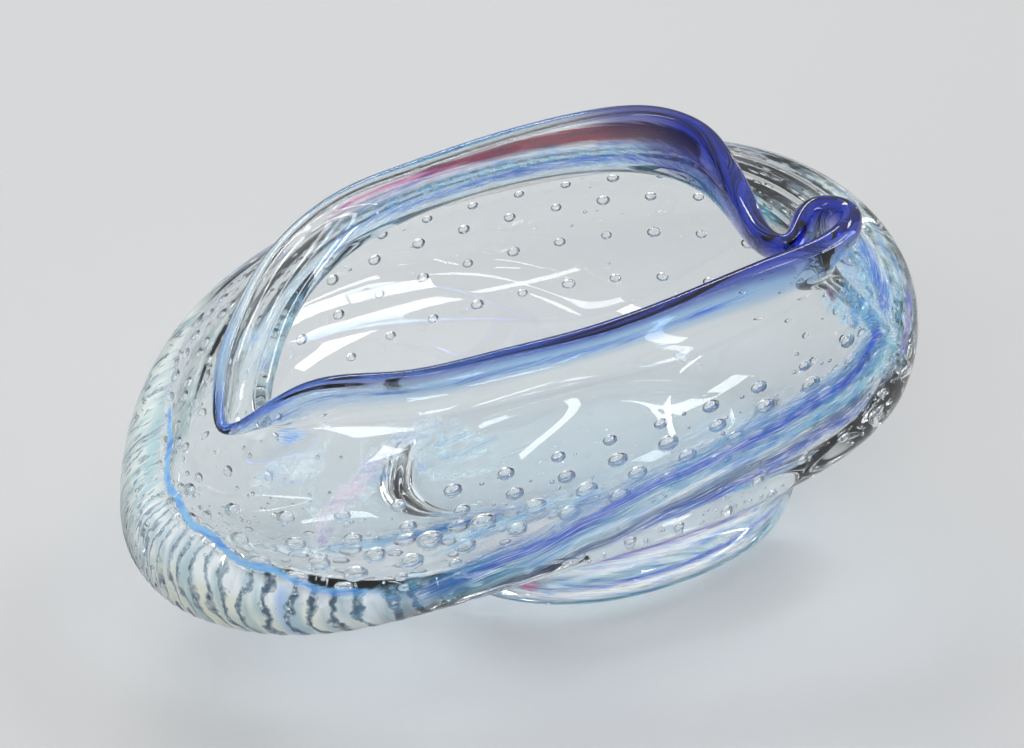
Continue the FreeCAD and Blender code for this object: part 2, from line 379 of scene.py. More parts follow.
def makeBubbles(rings):
    draw = random.Random(bubbles["seed"])
    bm = bmesh.new()
    placed = []
    for number, up in enumerate(bubbles["rows"]):
        for middle, wall, along, out in rowOfBubbles(rings, number, up):
            if all((middle - other).length > bubbles["leastSpacing"] for other in placed):
                placed.append(middle)
                inMouth = out.y > 0 and up > bubbles["mouthFrom"]
                widest = bubbles["mouthRadius" if inMouth else "radius"]
                radius = min(widest, bubbles["widestInWall"] * wall)
                radius *= draw.uniform(bubbles["smallestShare"], 1.0)
                addBubble(bm, middle, along, out, radius, bubbles["rounds"])
    for count, arounds, ups, depths, radii in bubbles["small"]:
        for _ in range(count):
            around = draw.uniform(*arounds) % 1
            up = round(draw.uniform(*ups), 1)
            depth = draw.uniform(*depths)
            outside, along, out = skinFrame(rings, around, up)
            inside = pointOn(ringAt(rings, len(rings) - up), around)
            wall = (inside - outside).length
            radius = min(draw.uniform(*radii), bubbles["smallInWall"] * wall)
            addBubble(bm, outside.lerp(inside, depth), along, out, radius, bubbles["smallRounds"])
    bmesh.ops.reverse_faces(bm, faces=bm.faces)  # a bubble's skin faces the air in it
    mesh = bpy.data.meshes.new("bubbles")
    bm.to_mesh(mesh)
    bm.free()
    return mesh


def turnAt(share):
    # places round the bowl lie closer together at its left end
    return share - bowl["packing"] * math.sin(2 * math.pi * (share + bowl["packedAt"]))


def rolledSheet(bm, rings, low, high, rows, around, depth=None):
    # rings of points from one place up the wall to another, closed round the bowl
    bmesh.ops.create_circle(bm, cap_ends=depth is None, segments=around, radius=1)
    row = sorted(bm.verts, key=lambda v: math.atan2(v.co.y, v.co.x) % (2 * math.pi))
    loops = list(bm.edges)
    places = []
    for step in range(rows + 1):
        up = low + (high - low) * step / rows
        ring = ringAt(rings, up) if depth is None else wallRing(rings, up, depth)
        if step:
            grown = bmesh.ops.extrude_edge_only(bm, edges=loops)["geom"]
            loops = [g for g in grown if isinstance(g, bmesh.types.BMEdge)]
            fresh = {g for g in grown if isinstance(g, bmesh.types.BMVert)}
            row = [next(e.other_vert(v) for e in v.link_edges if e.other_vert(v) in fresh) for v in row]
        for i, v in enumerate(row):
            turn = turnAt(i / around) % 1
            v.co = pointOn(ring, turn) * mm
            places.append((v, turn, up))
    return places


def madePiece(name, bm, material):
    mesh = bpy.data.meshes.new(name)
    bm.to_mesh(mesh)
    bm.free()
    mesh.shade_smooth()
    mesh.materials.append(material)
    piece = bpy.data.objects.new(name, mesh)
    bpy.context.collection.objects.link(piece)
    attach(piece, "root")
    return piece


def ribHeight(around, up):
    # how far a rib stands out at a place on the lobe
    turn = (around - bowl["ribPlace"][0] + 0.5) % 1 - 0.5
    far = math.hypot(turn / bowl["ribReach"][0], (up - bowl["ribPlace"][1]) / bowl["ribReach"][1])
    if far > 1:
        return 0.0
    upReach, upWaves = bowl["ribSwayUp"]
    turnReach, turnWaves = bowl["ribSwayAround"]
    sway = upReach * math.sin(upWaves * up) + turnReach * math.sin(turnWaves * turn)
    wave = math.sin(2 * math.pi * bowl["ribsAround"] * turn + sway)
    return bowl["ribDepth"] * wave * (1 - far ** 2) ** 0.5


def makeBowl(rings):
    bm = bmesh.new()
    tint = bm.verts.layers.float_color.new("tint")
    inmost = len(rings) - 3  # where the spline up the wall, over the lip and down the inside ends
    places = rolledSheet(bm, rings, 0, inmost, bowl["up"], bowl["around"])
    bm.normal_update()
    ribs = []
    for v, around, up in places:
        colour, cover = painted(lipStrokes, lip["clear"], around, up, lip["edge"])
        v[tint] = (*Vector(lip["clear"]).lerp(colour, cover), cover)
        ribs.append((v, v.co + v.normal * ribHeight(around, up) * mm))
    for v, place in ribs:
        v.co = place
    bmesh.ops.holes_fill(bm, edges=[e for e in bm.edges if e.is_boundary], sides=0)
    bmesh.ops.recalc_face_normals(bm, faces=bm.faces)
    known = len(bm.verts)
    bm.from_mesh(makeBubbles(rings))
    bm.verts.ensure_lookup_table()
    for v in bm.verts[known:]:
        v[tint] = (1, 1, 1, 0)  # bubbles have no tint
    piece = madePiece("glassBowl", bm, blownGlass())
    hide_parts("glass_bowl")


def nodeMaker(material):
    material.use_nodes = True
    tree = material.node_tree

    def node(kind, links=(), **values):
        made = tree.nodes.new("ShaderNode" + kind)
        for key, value in values.items():
            setattr(made, key, value)
        for socket, source in dict(links).items():
            target = made.inputs[socket]
            if hasattr(source, "is_output"):
                tree.links.new(source, target)
            else:
                target.default_value = source
        return made
    return tree, node


def shorthand(node):
    # the few kinds of node that the patterns use most, each by one call
    def sums(operation, *values, clamp=False):
        return node("Math", dict(enumerate(values)), operation=operation, use_clamp=clamp).outputs[0]

    def noise(place, scale, detail, roughness, warp=0.0):
        values = {"Scale": scale, "Detail": detail, "Roughness": roughness, "Distortion": warp}
        return node("TexNoise", {"Vector": place, **values}).outputs["Fac"]

    def scaled(place, scale):
        return node("Mapping", {"Vector": place, "Scale": scale}).outputs["Vector"]

    def ranged(value, ends, least=0.0, most=1.0, clamp=True):
        values = {"Value": value, "From Min": ends[0], "From Max": ends[1], "To Min": least, "To Max": most}
        return node("MapRange", values, clamp=clamp).outputs["Result"]

    def mixed(share, first, second, way="MIX"):
        values = {"Factor": share, 6: first, 7: second}
        return node("Mix", values, data_type="RGBA", blend_type=way).outputs[2]
    return sums, noise, scaled, ranged, mixed


glassLook = {
    "roughness": 0.0, "bending": 1.5,
    "lampLightKept": (0.86, 0.88, 0.90, 1),  # share of a lamp's light that each surface lets through
}


def blownGlass():
    material = bpy.data.materials.new("blownGlass")
    tree, node = nodeMaker(material)
    mixed = shorthand(node)[-1]
    shader = tree.nodes["Principled BSDF"]
    tint = node("Attribute", attribute_name="tint").outputs["Color"]
    tree.links.new(tint, shader.inputs["Base Color"])
    shader.inputs["Roughness"].default_value = glassLook["roughness"]
    shader.inputs["IOR"].default_value = glassLook["bending"]
    shader.inputs["Transmission Weight"].default_value = 1.0
    # the lamps shine through the glass and lose a little at each surface
    clear = node("BsdfTransparent", {"Color": mixed(1.0, tint, glassLook["lampLightKept"], "MULTIPLY")})
    shadow = node("LightPath").outputs["Is Shadow Ray"]
    both = node("MixShader", {0: shadow, 1: shader.outputs[0], 2: clear.outputs[0]})
    tree.links.new(both.outputs[0], tree.nodes["Material Output"].inputs["Surface"])
    return material


# streaks of colour rolled into the wall, on one sheet near its inside and three near its outside; some
# strokes on the outer sheet and the lobe's lines are painted refractions and painted light instead

tones = {
    # red, green, blue, and how the colour lies: 0 in streaks, 1 in clouds, -1 even
    "aqua": (0.07, 0.44, 0.62, 0.1), "turquoise": (0.04, 0.42, 0.50, 0.5),
    "blue": (0.008, 0.09, 0.58, 0), "steel": (0.02, 0.16, 0.46, 0), "navy": (0.008, 0.015, 0.16, 0),
    "sky": (0.10, 0.38, 0.80, 0), "skyLine": (0.22, 0.52, 0.85, -1), "frit": (0.16, 0.52, 0.74, 0.8),
    "mist": (0.45, 0.75, 0.84, 0.1), "ice": (0.74, 0.88, 0.86, 0.6), "silver": (0.50, 0.66, 0.72, 0),
    "white": (0.93, 0.97, 0.98, 0), "snow": (0.97, 0.98, 0.98, 0), "cream": (0.92, 0.90, 0.74, 0),
    # the last tone on the next line is painted refraction, the colour of refracted images seen through the
    # wall
    "swirl": (0.88, 0.90, 0.84, 1), "milk": (0.78, 0.86, 0.85, 1), "paintedRefraction": (0.64, 0.72, 0.74, 1),
    "ruby": (0.22, 0.0, 0.035, -1), "pink": (0.66, 0.14, 0.38, 0), "rose": (0.86, 0.66, 0.78, 1),
    "violet": (0.24, 0.10, 0.42, 1), "lilac": (0.35, 0.22, 0.62, 0), "ground": (0.5, 0.7, 0.8, 0),
}
sheets = {
    # a sheet's streaks climb and fall this far, this often in a turn, where it has no line of its own
    "sway": 0.4, "swayWaves": 3,
    # how far apart the streaks lie up the wall, and the least colour that a face is kept for
    "streakGap": 0.13, "leastCover": 0.004,
}
# each sheet: how deep in the wall it lies, its first and last ring, its points, how square a streak's
# edge is, and its streaks: tone, then share around, ring, half width and strength at each point
innerVeil = {
    "depth": 0.82, "low": 6.6, "high": 10.7, "rows": 66, "around": 288, "edge": 2.0,
    "strokes": [
        ("mist", [(0.58, 8.9, 0.7, 0), (0.66, 8.9, 0.9, 0.45), (0.78, 8.9, 1.0, 0.5),
                  (0.86, 8.8, 1.0, 0.6), (0.94, 9.3, 1.0, 0.35), (0.98, 9.3, 0.6, 0)]),
        ("frit", [(0.57, 9.8, 0.25, 0), (0.61, 9.75, 0.4, 1), (0.67, 9.5, 0.42, 1), (0.72, 9.6, 0.45, 1),
                  (0.78, 9.8, 0.5, 0.95), (0.86, 9.6, 0.5, 0)]),
        ("blue", [(0.58, 9.5, 0.15, 0), (0.63, 9.4, 0.2, 0.7), (0.72, 9.35, 0.2, 0.8),
                  (0.8, 9.5, 0.2, 0.5), (0.86, 9.3, 0.15, 0)]),
        ("white", [(0.60, 9.9, 0.12, 0), (0.67, 9.75, 0.14, 0.8), (0.76, 9.95, 0.16, 0.8),
                   (0.84, 9.8, 0.16, 0)]),
        ("ruby", [(0.585, 10.2, 0.12, 0), (0.605, 10.2, 0.36, 1), (0.66, 10.12, 0.42, 1),
                  (0.72, 10.2, 0.36, 0.9), (0.75, 10.3, 0.26, 0.7), (0.78, 10.3, 0.1, 0)]),
        ("pink", [(0.575, 9.9, 0.1, 0), (0.59, 9.95, 0.14, 0.9), (0.61, 10.0, 0.1, 0)]),
        ("pink", [(0.74, 10.2, 0.1, 0), (0.77, 10.3, 0.16, 0.9), (0.80, 10.3, 0.14, 0.8),
                  (0.84, 10.3, 0.1, 0)]),
        ("white", [(0.86, 10.1, 0.5, 0), (0.9, 10.0, 0.6, 0.6), (0.95, 10.0, 0.5, 0)]),
    ],
}
outerVeil = {
    "depth": 0.22, "low": 4.2, "high": 10.3, "rows": 110, "around": 420, "edge": 2.0,
    # how far the streaks have climbed at a place round the bowl
    "climb": [(0.0, -0.9), (0.09, -0.85), (0.125, -0.55), (0.148, -0.25), (0.175, 0.0), (0.21, 0.2),
              (0.264, 0.3), (0.32, 0.6), (0.45, 0.2), (0.60, 0.0), (0.85, 0.0), (1.0, -0.9)],
    "strokes": [
        ("mist", [(0.085, 5.0, 0.4, 0), (0.11, 5.2, 0.55, 0.65), (0.15, 5.6, 0.7, 0.7),
                  (0.2, 6.0, 0.75, 0.7), (0.27, 6.3, 0.9, 0.8), (0.33, 6.8, 1.3, 0.8),
                  (0.42, 6.7, 1.4, 0.8), (0.52, 6.7, 1.2, 0.7), (0.58, 7.0, 0.8, 0)]),
        ("frit", [(0.07, 5.3, 0.3, 0), (0.085, 5.4, 0.5, 0.9), (0.105, 5.5, 0.5, 0.9),
                  (0.13, 5.9, 0.3, 0)]),
        ("skyLine", [(0.85, 7.1, 0.03, 0), (0.924, 7.32, 0.06, 1), (0.999, 7.15, 0.08, 1)]),
        ("skyLine", [(-0.001, 7.15, 0.08, 1), (0.032, 6.86, 0.09, 1), (0.06, 6.34, 0.1, 1),
                     (0.082, 5.78, 0.1, 1), (0.105, 5.2, 0.06, 0)]),
        ("mist", [(0.07, 6.1, 0.2, 0), (0.12, 6.3, 0.4, 0.6), (0.2, 6.9, 0.4, 0.5),
                  (0.26, 7.1, 0.3, 0)]),
        ("snow", [(0.10, 5.0, 0.12, 0), (0.15, 5.5, 0.3, 0.9), (0.22, 5.95, 0.3, 0.9),
                  (0.28, 6.15, 0.15, 0)]),
        ("aqua", [(0.09, 5.1, 0.2, 0), (0.13, 5.4, 0.4, 0.7), (0.18, 5.85, 0.45, 0.7),
                  (0.27, 6.2, 0.45, 0.8), (0.34, 6.6, 0.5, 0.7), (0.42, 6.6, 0.2, 0)]),
        ("frit", [(0.28, 8.2, 0.3, 0), (0.30, 8.0, 0.7, 1), (0.34, 7.6, 0.9, 1), (0.45, 7.3, 0.9, 1),
                  (0.52, 7.3, 0.7, 0.8), (0.58, 7.6, 0.3, 0)]),
        ("turquoise", [(0.53, 8.9, 0.4, 0), (0.555, 8.9, 0.9, 1), (0.59, 9.0, 0.9, 1),
                       (0.62, 9.1, 0.7, 0.6), (0.65, 9.2, 0.4, 0)]),
        ("ice", [(0.50, 6.6, 0.4, 0), (0.54, 6.7, 0.7, 0.8), (0.6, 6.7, 0.7, 0.8), (0.64, 6.6, 0.4, 0)]),
        ("steel", [(0.09, 5.3, 0.1, 0), (0.105, 5.4, 0.3, 0.8), (0.125, 5.65, 0.4, 0.72),
                   (0.148, 5.95, 0.42, 0.7), (0.175, 6.2, 0.44, 0.7), (0.21, 6.4, 0.46, 0.7),
                   (0.264, 6.55, 0.46, 0.72), (0.30, 6.8, 0.5, 0.8), (0.34, 7.1, 0.5, 0.8),
                   (0.38, 7.3, 0.2, 0)]),
        ("blue", [(0.10, 5.35, 0.06, 0), (0.125, 5.62, 0.14, 0.95), (0.175, 6.15, 0.14, 0.9),
                  (0.264, 6.5, 0.15, 0.95), (0.34, 7.1, 0.15, 0.9), (0.38, 7.3, 0.08, 0)]),
        ("navy", [(0.10, 4.75, 0.1, 0), (0.125, 4.95, 0.2, 0.75), (0.148, 5.25, 0.22, 0.75),
                  (0.175, 5.5, 0.24, 0.75), (0.21, 5.65, 0.26, 0.75), (0.264, 5.85, 0.26, 0.75),
                  (0.32, 6.0, 0.2, 0.7), (0.4, 6.1, 0.1, 0)]),
        ("blue", [(0.12, 4.7, 0.1, 0), (0.175, 5.35, 0.16, 0.7), (0.26, 5.7, 0.18, 0.7),
                  (0.34, 5.8, 0.1, 0)]),
        ("snow", [(0.11, 5.15, 0.03, 0), (0.15, 5.55, 0.05, 1), (0.20, 5.85, 0.05, 1),
                  (0.24, 6.0, 0.03, 0)]),
        ("lilac", [(0.38, 6.1, 0.1, 0), (0.43, 6.2, 0.15, 1), (0.50, 6.3, 0.15, 0.8),
                   (0.56, 6.4, 0.1, 0)]),
        ("blue", [(0.44, 6.9, 0.1, 0), (0.48, 7.1, 0.2, 0.9), (0.53, 7.2, 0.2, 0.7),
                  (0.57, 7.3, 0.1, 0)]),
        ("ruby", [(0.297, 8.4, 0.1, 0), (0.304, 8.4, 0.3, 1), (0.312, 8.4, 0.1, 0)]),
        ("milk", [(0.027, 7.9, 0.1, 0), (0.035, 7.9, 0.42, 1), (0.045, 8.0, 0.5, 1),
                  (0.054, 8.1, 0.36, 1), (0.061, 8.15, 0.1, 0)]),
        ("sky", [(0.008, 8.7, 0.1, 0), (0.02, 8.7, 0.3, 0.7), (0.03, 8.6, 0.3, 0.7),
                 (0.045, 8.6, 0.1, 0)]),
        # from here to the mist stroke below, the grey strokes are painted refractions seen through the
        # wall, and the milk, rose and violet strokes are a painted bright patch of refracted light
        ("paintedRefraction", [(0.043, 8.8, 0.1, 0), (0.05, 8.45, 0.2, 1), (0.057, 8.0, 0.2, 1),
                   (0.066, 7.5, 0.2, 1), (0.071, 7.2, 0.1, 0)]),
        ("milk", [(0.067, 7.2, 0.3, 0), (0.073, 7.5, 1.0, 1), (0.080, 8.0, 1.0, 1), (0.088, 8.5, 0.6, 1),
                  (0.100, 8.8, 0.2, 0)]),
        ("rose", [(0.067, 7.3, 0.2, 0), (0.071, 7.5, 0.6, 1), (0.077, 7.85, 0.6, 1),
                  (0.083, 8.2, 0.2, 0)]),
        ("violet", [(0.070, 7.0, 0.1, 0), (0.0745, 7.0, 0.28, 1), (0.078, 7.0, 0.1, 0)]),
        ("paintedRefraction", [(0.086, 8.9, 0.05, 0), (0.0885, 8.6, 0.25, 1), (0.0925, 8.0, 0.25, 1),
                   (0.100, 7.65, 0.12, 1), (0.112, 7.52, 0.08, 1), (0.135, 7.45, 0.04, 0)]),
        ("paintedRefraction", [(0.092, 8.9, 0.05, 0), (0.0945, 8.6, 0.22, 1), (0.0985, 8.15, 0.22, 1),
                   (0.105, 7.88, 0.1, 1), (0.122, 7.8, 0.04, 0)]),
        ("paintedRefraction", [(0.0975, 8.85, 0.05, 0), (0.100, 8.55, 0.2, 1), (0.104, 8.28, 0.2, 1),
                   (0.110, 8.12, 0.08, 1), (0.122, 8.08, 0.04, 0)]),
        ("paintedRefraction", [(0.18, 8.9, 0.1, 0), (0.19, 8.7, 0.3, 0.9), (0.197, 8.3, 0.3, 0.9),
                   (0.20, 7.9, 0.1, 0)]),
        ("mist", [(0.085, 8.2, 0.3, 0), (0.10, 8.1, 0.6, 0.5), (0.115, 7.9, 0.5, 0.5),
                  (0.14, 7.7, 0.3, 0)]),
        ("sky", [(-0.001, 9.9, 0.2, 0.5), (0.06, 10.0, 0.25, 0.7), (0.2, 9.9, 0.3, 0.7),
                 (0.27, 9.9, 0.3, 0)]),
    ],
}
bulgeVeil = {
    "depth": 0.05, "low": 0.5, "high": 3.7, "rows": 48, "around": 300, "edge": 4.0,
    "strokes": [
        ("silver", [(0.04, 2.2, 0.8, 0), (0.10, 2.2, 1.3, 1), (0.24, 2.1, 1.5, 1),
                    (0.36, 2.2, 1.4, 0.95), (0.44, 2.4, 0.8, 0)]),
        ("aqua", [(0.08, 1.4, 0.3, 0), (0.15, 1.3, 0.4, 0.9), (0.28, 1.4, 0.5, 0.9),
                  (0.40, 1.7, 0.3, 0)]),
        ("blue", [(0.10, 2.0, 0.06, 0), (0.17, 2.0, 0.12, 0.9), (0.26, 2.2, 0.12, 0.9),
                  (0.34, 2.4, 0.06, 0)]),
        ("snow", [(0.08, 1.9, 0.1, 0), (0.13, 1.7, 0.3, 1), (0.22, 1.7, 0.3, 1), (0.30, 1.8, 0.1, 0)]),
        ("snow", [(0.09, 2.5, 0.1, 0), (0.14, 2.6, 0.2, 1), (0.24, 2.8, 0.2, 1), (0.34, 3.0, 0.1, 0)]),
        ("lilac", [(0.09, 2.9, 0.1, 0), (0.13, 3.0, 0.22, 1), (0.24, 3.2, 0.22, 0.9),
                   (0.32, 3.3, 0.1, 0)]),
        ("pink", [(0.112, 2.2, 0.15, 0), (0.120, 2.25, 0.4, 1), (0.130, 2.3, 0.2, 0)]),
    ],
}
# the lobe's swirl, snow and cream strokes are partly its own streaks and partly painted brightness standing
# in for window light refracted through the thick glass
lobeVeil = {
    "depth": 0.15, "low": 4.4, "high": 7.3, "rows": 44, "around": 560, "edge": 6.0,
    "ribs": 165.0, "ribGrain": 55.0,
    "strokes": [
        ("swirl", [(0.785, 6.2, 0.3, 0), (0.83, 6.2, 0.75, 0.8), (0.90, 6.2, 1.05, 1),
                   (0.98, 6.1, 1.1, 1), (1.01, 6.0, 1.0, 0)]),
        ("snow", [(0.96, 5.9, 0.5, 0), (1.0, 5.95, 1.05, 1), (1.03, 5.85, 0.95, 1),
                  (1.06, 5.55, 0.75, 1), (1.085, 5.3, 0.5, 0.8), (1.11, 5.1, 0.2, 0)]),
        ("cream", [(1.0, 5.5, 0.2, 0), (1.02, 5.5, 0.5, 0.7), (1.04, 5.4, 0.5, 0.9),
                   (1.07, 5.3, 0.4, 0.6), (1.09, 5.1, 0.2, 0)]),
        ("turquoise", [(0.86, 7.0, 0.1, 0), (0.90, 7.0, 0.18, 0.35), (0.95, 6.9, 0.18, 0.35),
                       (0.99, 6.7, 0.1, 0)]),
        ("sky", [(1.062, 5.2, 0.3, 0), (1.067, 5.4, 0.7, 0.6), (1.072, 5.6, 0.3, 0)]),
    ],
}


def makeVeil(name, rings, veil, material):
    # paint is the colour and how much it covers, cloud how it lies, flow the way that streaks run
    bm = bmesh.new()
    paint = bm.verts.layers.float_color.new("paint")
    cloud = bm.verts.layers.float.new("cloud")
    flow = bm.verts.layers.float_vector.new("flow")
    strokes = madeStrokes([(tones[tone], line) for tone, line in veil["strokes"]])
    places = rolledSheet(bm, rings, veil["low"], veil["high"], veil["rows"], veil["around"], veil["depth"])
    for v, around, up in places:
        colour, cover = painted(strokes, tones["ground"], around, up, veil["edge"])
        v[paint] = (*colour[:3], cover)
        v[cloud] = colour[3]
        if "ribs" in veil:
            turn = around if around < 0.5 else around - 1
            v[flow] = Vector((up, veil["ribGrain"] * turn, turn * veil["ribs"]))
        else:
            angle = 2 * math.pi * around
            if "climb" in veil:
                climb = easedBetween(veil["climb"], around)[0]
            else:
                climb = sheets["sway"] * math.sin(sheets["swayWaves"] * angle)
            v[flow] = Vector((math.cos(angle), math.sin(angle), (up - climb) * sheets["streakGap"]))
    bare = [f for f in bm.faces if all(v[paint][3] < sheets["leastCover"] for v in f.verts)]
    bmesh.ops.delete(bm, context="FACES", geom=bare)
    bmesh.ops.delete(bm, context="VERTS", geom=[v for v in bm.verts if not v.link_faces])
    bmesh.ops.recalc_face_normals(bm, faces=bm.faces)
    madePiece(name, bm, material)


ribLook = {
    # scale, detail, roughness and warp of each noise
    "swayNoise": (0.9, 4.0, 0.6), "speckNoise": (300.0, 5.0, 0.65),
    "curlNoise": (1.5, 5.0, 0.6, 1.6), "mottleNoise": (1.6, 3.0, 0.6),
    "swayReach": 20.0, "speckShare": (1.8, -0.5), "swirlShare": (9.0, -4.0),
    "curlStretch": (0.9, 1.4, 1.0), "mottleStretch": (0.35, 1.5, 1.0),
    "ribEnds": (-0.55, 0.25), "greyEnds": (0.46, 0.62), "greyMost": 0.75,
    # the colour between the lines is painted shade for the dark bars that the ribs refract
    "grey": (0.42, 0.60, 0.66, 1), "between": (0.14, 0.24, 0.34, 1),
    "leastCover": 0.55, "mostCover": 0.95, "roughness": 0.5,
}


def lobeRibsAndPaintedLight():
    # cloudy upright lines with clear, greyer glass between them; partly the lobe's own streaks, partly
    # painted light and shade, the pale lines and darker gaps standing in for light refracted through its
    # ribs
    look = ribLook
    material = bpy.data.materials.new("lobeRibsAndPaintedLight")
    tree, node = nodeMaker(material)
    sums, noise, scaled, ranged, mixed = shorthand(node)
    shader = tree.nodes["Principled BSDF"]
    paint = node("Attribute", attribute_name="paint")
    cloudy = node("Attribute", attribute_name="cloud").outputs["Fac"]
    flow = node("Attribute", attribute_name="flow").outputs["Vector"]
    place = node("TexCoord").outputs["Object"]
    apart = node("SeparateXYZ", {"Vector": flow})
    level = node("CombineXYZ", {"X": apart.outputs["X"], "Y": apart.outputs["Y"]}).outputs["Vector"]
    swayed = sums("MULTIPLY", noise(level, *look["swayNoise"]), look["swayReach"])
    wave = sums("SINE", sums("MULTIPLY_ADD", apart.outputs["Z"], 2 * math.pi, swayed))
    rough = sums("MULTIPLY_ADD", noise(place, *look["speckNoise"]), *look["speckShare"])
    line = sums("ADD", wave, rough)
    curled = noise(scaled(level, look["curlStretch"]), *look["curlNoise"])
    swirl = sums("MULTIPLY_ADD", curled, *look["swirlShare"])
    pattern = node("Mix", {"Factor": cloudy, 2: line, 3: swirl}).outputs[0]
    rib = ranged(pattern, look["ribEnds"])
    mottle = noise(scaled(level, look["mottleStretch"]), *look["mottleNoise"])
    greyed = ranged(mottle, look["greyEnds"], most=look["greyMost"])
    pale = mixed(greyed, paint.outputs["Color"], look["grey"])
    tone = mixed(rib, look["between"], pale)
    most = ranged(rib, (0.0, 1.0), look["leastCover"], look["mostCover"])
    alpha = sums("MULTIPLY", most, paint.outputs["Alpha"])
    tree.links.new(tone, shader.inputs["Base Color"])
    tree.links.new(alpha, shader.inputs["Alpha"])
    shader.inputs["Roughness"].default_value = look["roughness"]
    shader.inputs["Specular IOR Level"].default_value = 0.0
    return material


streakLook = {
    # how the noise is drawn out along the flow: long fine lines, and broad bands
    "drawnOut": (4.0, 4.0, 120.0), "broad": (7.0, 7.0, 34.0),
    # scale, detail, roughness and warp of each noise
    "lineNoise": (1.0, 7.0, 0.7, 0.6), "bandNoise": (1.0, 3.0, 0.6),
    "speckNoise": (240.0, 6.0, 0.65), "fineNoise": (2.6, 4.0, 0.65),
    "lineShare": 0.6, "bandShare": 0.4, "ends": (0.36, 0.64), "reach": (1.2, -1.0),
    "evenAdded": 0.5, "softness": (0.8, 0.7), "mostCover": 0.85,
    "deepEnds": (0.48, 0.66), "deep": (0.3, 0.5, 0.85, 1),
    "fleckEnds": (0.52, 0.66), "fleckMost": 0.7, "fleck": (0.92, 0.96, 0.97, 1),
    "roughness": 0.4,
}


# the streak pattern, which on the outer sheet also draws painted refractions and a painted bright patch of
# refracted light
def colourStreaksAndPaintedRefractions():
    look = streakLook
    material = bpy.data.materials.new("colourStreaksAndPaintedRefractions")
    tree, node = nodeMaker(material)
    sums, noise, scaled, ranged, mixed = shorthand(node)
    shader = tree.nodes["Principled BSDF"]
    paint = node("Attribute", attribute_name="paint")
    cloud = node("Attribute", attribute_name="cloud").outputs["Fac"]
    cloudy = sums("MAXIMUM", cloud, 0.0)
    even = sums("MULTIPLY", cloud, -1.0, clamp=True)
    flow = node("Attribute", attribute_name="flow").outputs["Vector"]
    place = node("TexCoord").outputs["Object"]
    drawnOut = scaled(flow, look["drawnOut"])
    lines = noise(drawnOut, *look["lineNoise"])
    bands = noise(scaled(flow, look["broad"]), *look["bandNoise"])
    specks = noise(place, *look["speckNoise"])
    fine = noise(drawnOut, *look["fineNoise"])
    streaked = sums("MULTIPLY_ADD", bands, look["bandShare"], sums("MULTIPLY", lines, look["lineShare"]))
    pattern = node("Mix", {"Factor": cloudy, 2: streaked, 3: specks}).outputs[0]
    spread = ranged(pattern, look["ends"], clamp=False)
    # the more the colour covers, the more of the pattern it takes in
    flecked = sums("ADD", spread, sums("MULTIPLY_ADD", paint.outputs["Alpha"], *look["reach"]))
    taken = sums("MULTIPLY_ADD", even, look["evenAdded"], flecked)
    # cloudy colour fades over more of its pattern
    shown = sums("DIVIDE", taken, sums("MULTIPLY_ADD", cloudy, *look["softness"]), clamp=True)
    tree.links.new(sums("MULTIPLY", shown, look["mostCover"]), shader.inputs["Alpha"])
    deep = mixed(ranged(bands, look["deepEnds"]), paint.outputs["Color"], look["deep"], "MULTIPLY")
    pale = ranged(fine, look["fleckEnds"], most=look["fleckMost"])
    flecks = sums("MULTIPLY", pale, sums("SUBTRACT", 1.0, even))
    tree.links.new(mixed(flecks, deep, look["fleck"]), shader.inputs["Base Color"])
    shader.inputs["Roughness"].default_value = look["roughness"]
    shader.inputs["Specular IOR Level"].default_value = 0.0
    return material


print("bowl")
rings = bowlRings()
makeBowl(rings)
print("colour streaks")
streaksAndRefractionsGlass = colourStreaksAndPaintedRefractions()
makeVeil("innerStreaks", rings, innerVeil, streaksAndRefractionsGlass)
makeVeil("outerStreaksAndPaintedRefractions", rings, outerVeil, streaksAndRefractionsGlass)
makeVeil("bulgeStreaks", rings, bulgeVeil, streaksAndRefractionsGlass)
makeVeil("lobeRibsAndPaintedLight", rings, lobeVeil, lobeRibsAndPaintedLight())


# floor, light and camera

studio = {
    # where the camera looks and how far off it stands, in mm, its turn and rise in degrees, its lens
    "target": (-18.9, 17.5, 40.0), "distance": 615.0, "turn": -30.0, "rise": 35.0, "lens": 85.0,
    "floorColour": (0.50, 0.50, 0.50, 1), "floorRoughness": 0.6, "floorHalf": 3.0, "floorGap": 0.0004,
    # brightness of the room low down and from a height up, and its colour
    "horizon": 0.30, "zenith": 0.95, "zenithFrom": 0.8, "roomColour": (0.97, 0.985, 1.0, 1),
    "bounces": 40, "clearBounces": 48,
    "lampAim": (0.0, 0.0, 0.05),
    # soft light on everything: ends of the lamp, its width, how bright it is
    "softLamps": [
        ((-0.22, 0.74, 0.78), (0.38, 0.72, 0.72), 0.10, 15.0),
        ((0.62, -0.07, 0.80), (0.58, 0.27, 0.80), 0.10, 14.0),
    ],
    # fills the shadow side without showing in gloss
    "fillLamps": [((-1.05, -0.45, 0.95), (-0.45, -1.05, 0.95), 0.20, 10.0)],
    # windows that only show in gloss
    "windows": [
        ((0.55, -0.37, 0.44), (0.10, -0.62, 0.28), 0.07, 12.0),
        ((0.07, -0.636, 0.27), (-0.08, -0.717, 0.217), 0.025, 9.0),
        ((0.80, -0.86, 0.22), (0.52, -1.06, 0.22), 0.13, 14.0),
        ((0.50, -1.05, 0.24), (0.20, -1.15, 0.24), 0.11, 14.0),
        ((0.155, -1.02, 0.03), (0.115, -1.03, 0.10), 0.006, 12.0),
        ((0.055, -1.03, 0.17), (0.015, -1.03, 0.205), 0.008, 14.0),
        ((-0.22, -0.72, 0.62), (-0.42, -0.28, 0.80), 0.07, 9.0),
        ((0.86, 0.46, 0.14), (0.86, 0.46, 0.28), 0.015, 10.0),
    ],
}


